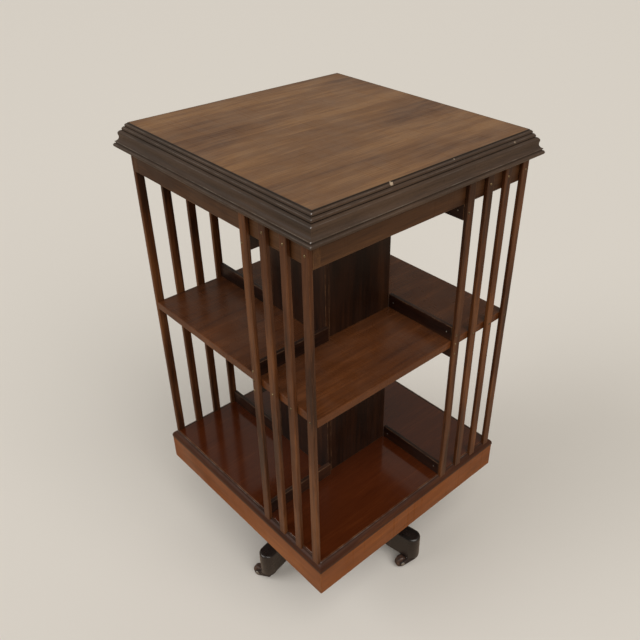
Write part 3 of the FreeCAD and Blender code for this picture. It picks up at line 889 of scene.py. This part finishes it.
def bead_length():
    low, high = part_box("rim_bead_front")
    outer, foot, crown = low[1], low[2], high[2]
    inner = -HALF_WIDTH - BEAD_GAP
    bm = bmesh.new()
    first = bm.verts.new((-ROUGH_REACH, inner, crown))
    chord = math.hypot(inner - outer, crown - foot)
    swing = 2 * math.asin(chord / 2 / BEAD_RADIUS)
    point = add_round(bm, first, outer, foot, angle=swing, steps=BEAD_STEPS)
    point = add_flat(bm, point, -HALF_WIDTH, foot)
    point = add_flat(bm, point, -HALF_WIDTH, crown - BEAD_GAP_DEPTH)
    point = add_flat(bm, point, inner, crown - BEAD_GAP_DEPTH)
    close_section(bm, point, first)
    push_along(bm)
    # a line of painted shade beside the pale crown
    dark = (inner - BEAD_SHADE_LINE[0], crown - BEAD_SHADE_LINE[1])
    hollows = [(inner, crown - BEAD_GAP_DEPTH), dark, (outer, foot)]
    mark_wear_sheen_and_shade(bm, [(inner - BEAD_LIGHT, crown)], hollows, BEAD_WEAR_AND_SHEEN)
    return bm


for face in FACES:
    finish_piece("rim_bead_piece_" + face, [bead_length()], WOODS["bead_" + along_axis(face)],
                 "rim_bead_" + face, face)

# %% [markdown]
# What is left of the frame already has the right shape. It only gets its finish: the planks of
# the cross, the castors, the pivot, and every pin and screw.

# %% Finishes on the frame's own parts
KEPT = {
    "cross_bar_lower": WOODS["cross_x"],
    "cross_bar_upper": WOODS["cross_y"],
    "lining_board": WOODS["lining_wood"],
    "pivot_flange": METALS["black_iron"],
    "castor_plates": METALS["black_iron"],
    "spindle": METALS["bare_steel"],
    "base_screws": METALS["bare_steel"],
    "bush_screws": METALS["bare_steel"],
    "thrust_washer": METALS["old_brass"],
    "lower_bush": METALS["old_brass"],
    "upper_bush": METALS["old_brass"],
    "slat_pins": METALS["dull_pins"],
}
for arm in ARMS:
    KEPT["castor_horn_" + arm] = METALS["black_iron"]
    KEPT["castor_axle_" + arm] = METALS["bare_steel"]
    KEPT["castor_wheel_" + arm] = METALS["castor_wheel"]


PLANK_ARRIS = 0.002


def soft_edges(piece, width):
    weld = piece.modifiers.new("weld", "WELD")
    weld.merge_threshold = 1e-6
    bevel = piece.modifiers.new("soft_edges", "BEVEL")
    bevel.width = width
    bevel.segments = 3
    bevel.limit_method = "ANGLE"
    bevel.angle_limit = math.radians(40)


for name, material in KEPT.items():
    nodes[name].data.materials.clear()
    nodes[name].data.materials.append(material)
    if name.startswith("cross_bar"):
        soft_edges(nodes[name], PLANK_ARRIS)
print("parts kept from the frame", len(KEPT))

# %% [markdown]
# The case stands on a plain pale floor. The camera sees the floor's own colour, and every other ray
# sees a warm wooden tone, so that the polish reflects a floor like the one such a case stands on.

# %% Floor
bpy.context.scene.view_settings.view_transform = "Standard"
FLOOR_HALF = 14
FLOOR_SEEN = (0.78, 0.76, 0.73, 1)
FLOOR_REFLECTED = (0.52, 0.42, 0.33, 1)


def make_floor():
    mesh = bpy.data.meshes.new("floor")
    bm = bmesh.new()
    bmesh.ops.create_grid(bm, x_segments=1, y_segments=1, size=FLOOR_HALF)
    bm.to_mesh(mesh)
    bm.free()
    floor = bpy.data.objects.new("floor", mesh)
    bpy.context.collection.objects.link(floor)
    material = bpy.data.materials.new("pale_floor")
    material.use_nodes = True
    shader = material.node_tree.nodes["Principled BSDF"]
    tree = material.node_tree
    seen = add(tree, "LightPath").outputs["Is Camera Ray"]
    tone = mix(tree, seen, FLOOR_REFLECTED, FLOOR_SEEN)
    tree.links.new(tone, shader.inputs["Base Color"])
    shader.inputs["Roughness"].default_value = 0.7
    shader.inputs["Specular IOR Level"].default_value = 0.2
    mesh.materials.append(material)


make_floor()

# %% [markdown]
# A window stands high on the left and a wide bright room in front. Both are far off, so the light
# doesn't fall away across the floor, and both look wide, so the shadows are soft.

# %% Light


def make_light(name, origin, spread, strength, tint):
    """A sky panel so far off that its light has no falloff; spread is how wide it looks."""
    data = bpy.data.lights.new(name, "SUN")
    data.angle = math.radians(spread)
    data.energy = strength
    data.color = tint
    light = bpy.data.objects.new(name, data)
    bpy.context.collection.objects.link(light)
    light.rotation_euler = (-Vector(origin)).to_track_quat("-Z", "Y").to_euler()


make_light("window", (-0.9, 0.35, 0.7), 40, 1.0, (1.0, 0.98, 0.95))
make_light("room", (-0.25, -1.0, 1.15), 55, 1.75, (1.0, 0.96, 0.9))

# %% [markdown]
# What is left is the dim light that comes from all round, and the pale wall behind, which only
# the camera sees.

# %% World
ROOM_COLOUR = (0.95, 0.87, 0.75, 1)
ROOM_STRENGTH = 0.3
WALL_COLOUR = (0.82, 0.82, 0.8, 1)


def make_world():
    """A warm room for light and reflections, and a pale wall behind for the camera alone."""
    world = bpy.data.worlds.new("world")
    bpy.context.scene.world = world
    world.use_nodes = True
    tree = world.node_tree
    room = tree.nodes["Background"]
    room.inputs["Color"].default_value = ROOM_COLOUR
    room.inputs["Strength"].default_value = ROOM_STRENGTH
    wall = add(tree, "Background", {"Color": WALL_COLOUR, "Strength": 1.0})
    seen = add(tree, "LightPath").outputs["Is Camera Ray"]
    both = add(tree, "MixShader", {0: seen, 1: room.outputs[0], 2: wall.outputs[0]})
    tree.links.new(both.outputs[0], tree.nodes["World Output"].inputs["Surface"])


make_world()
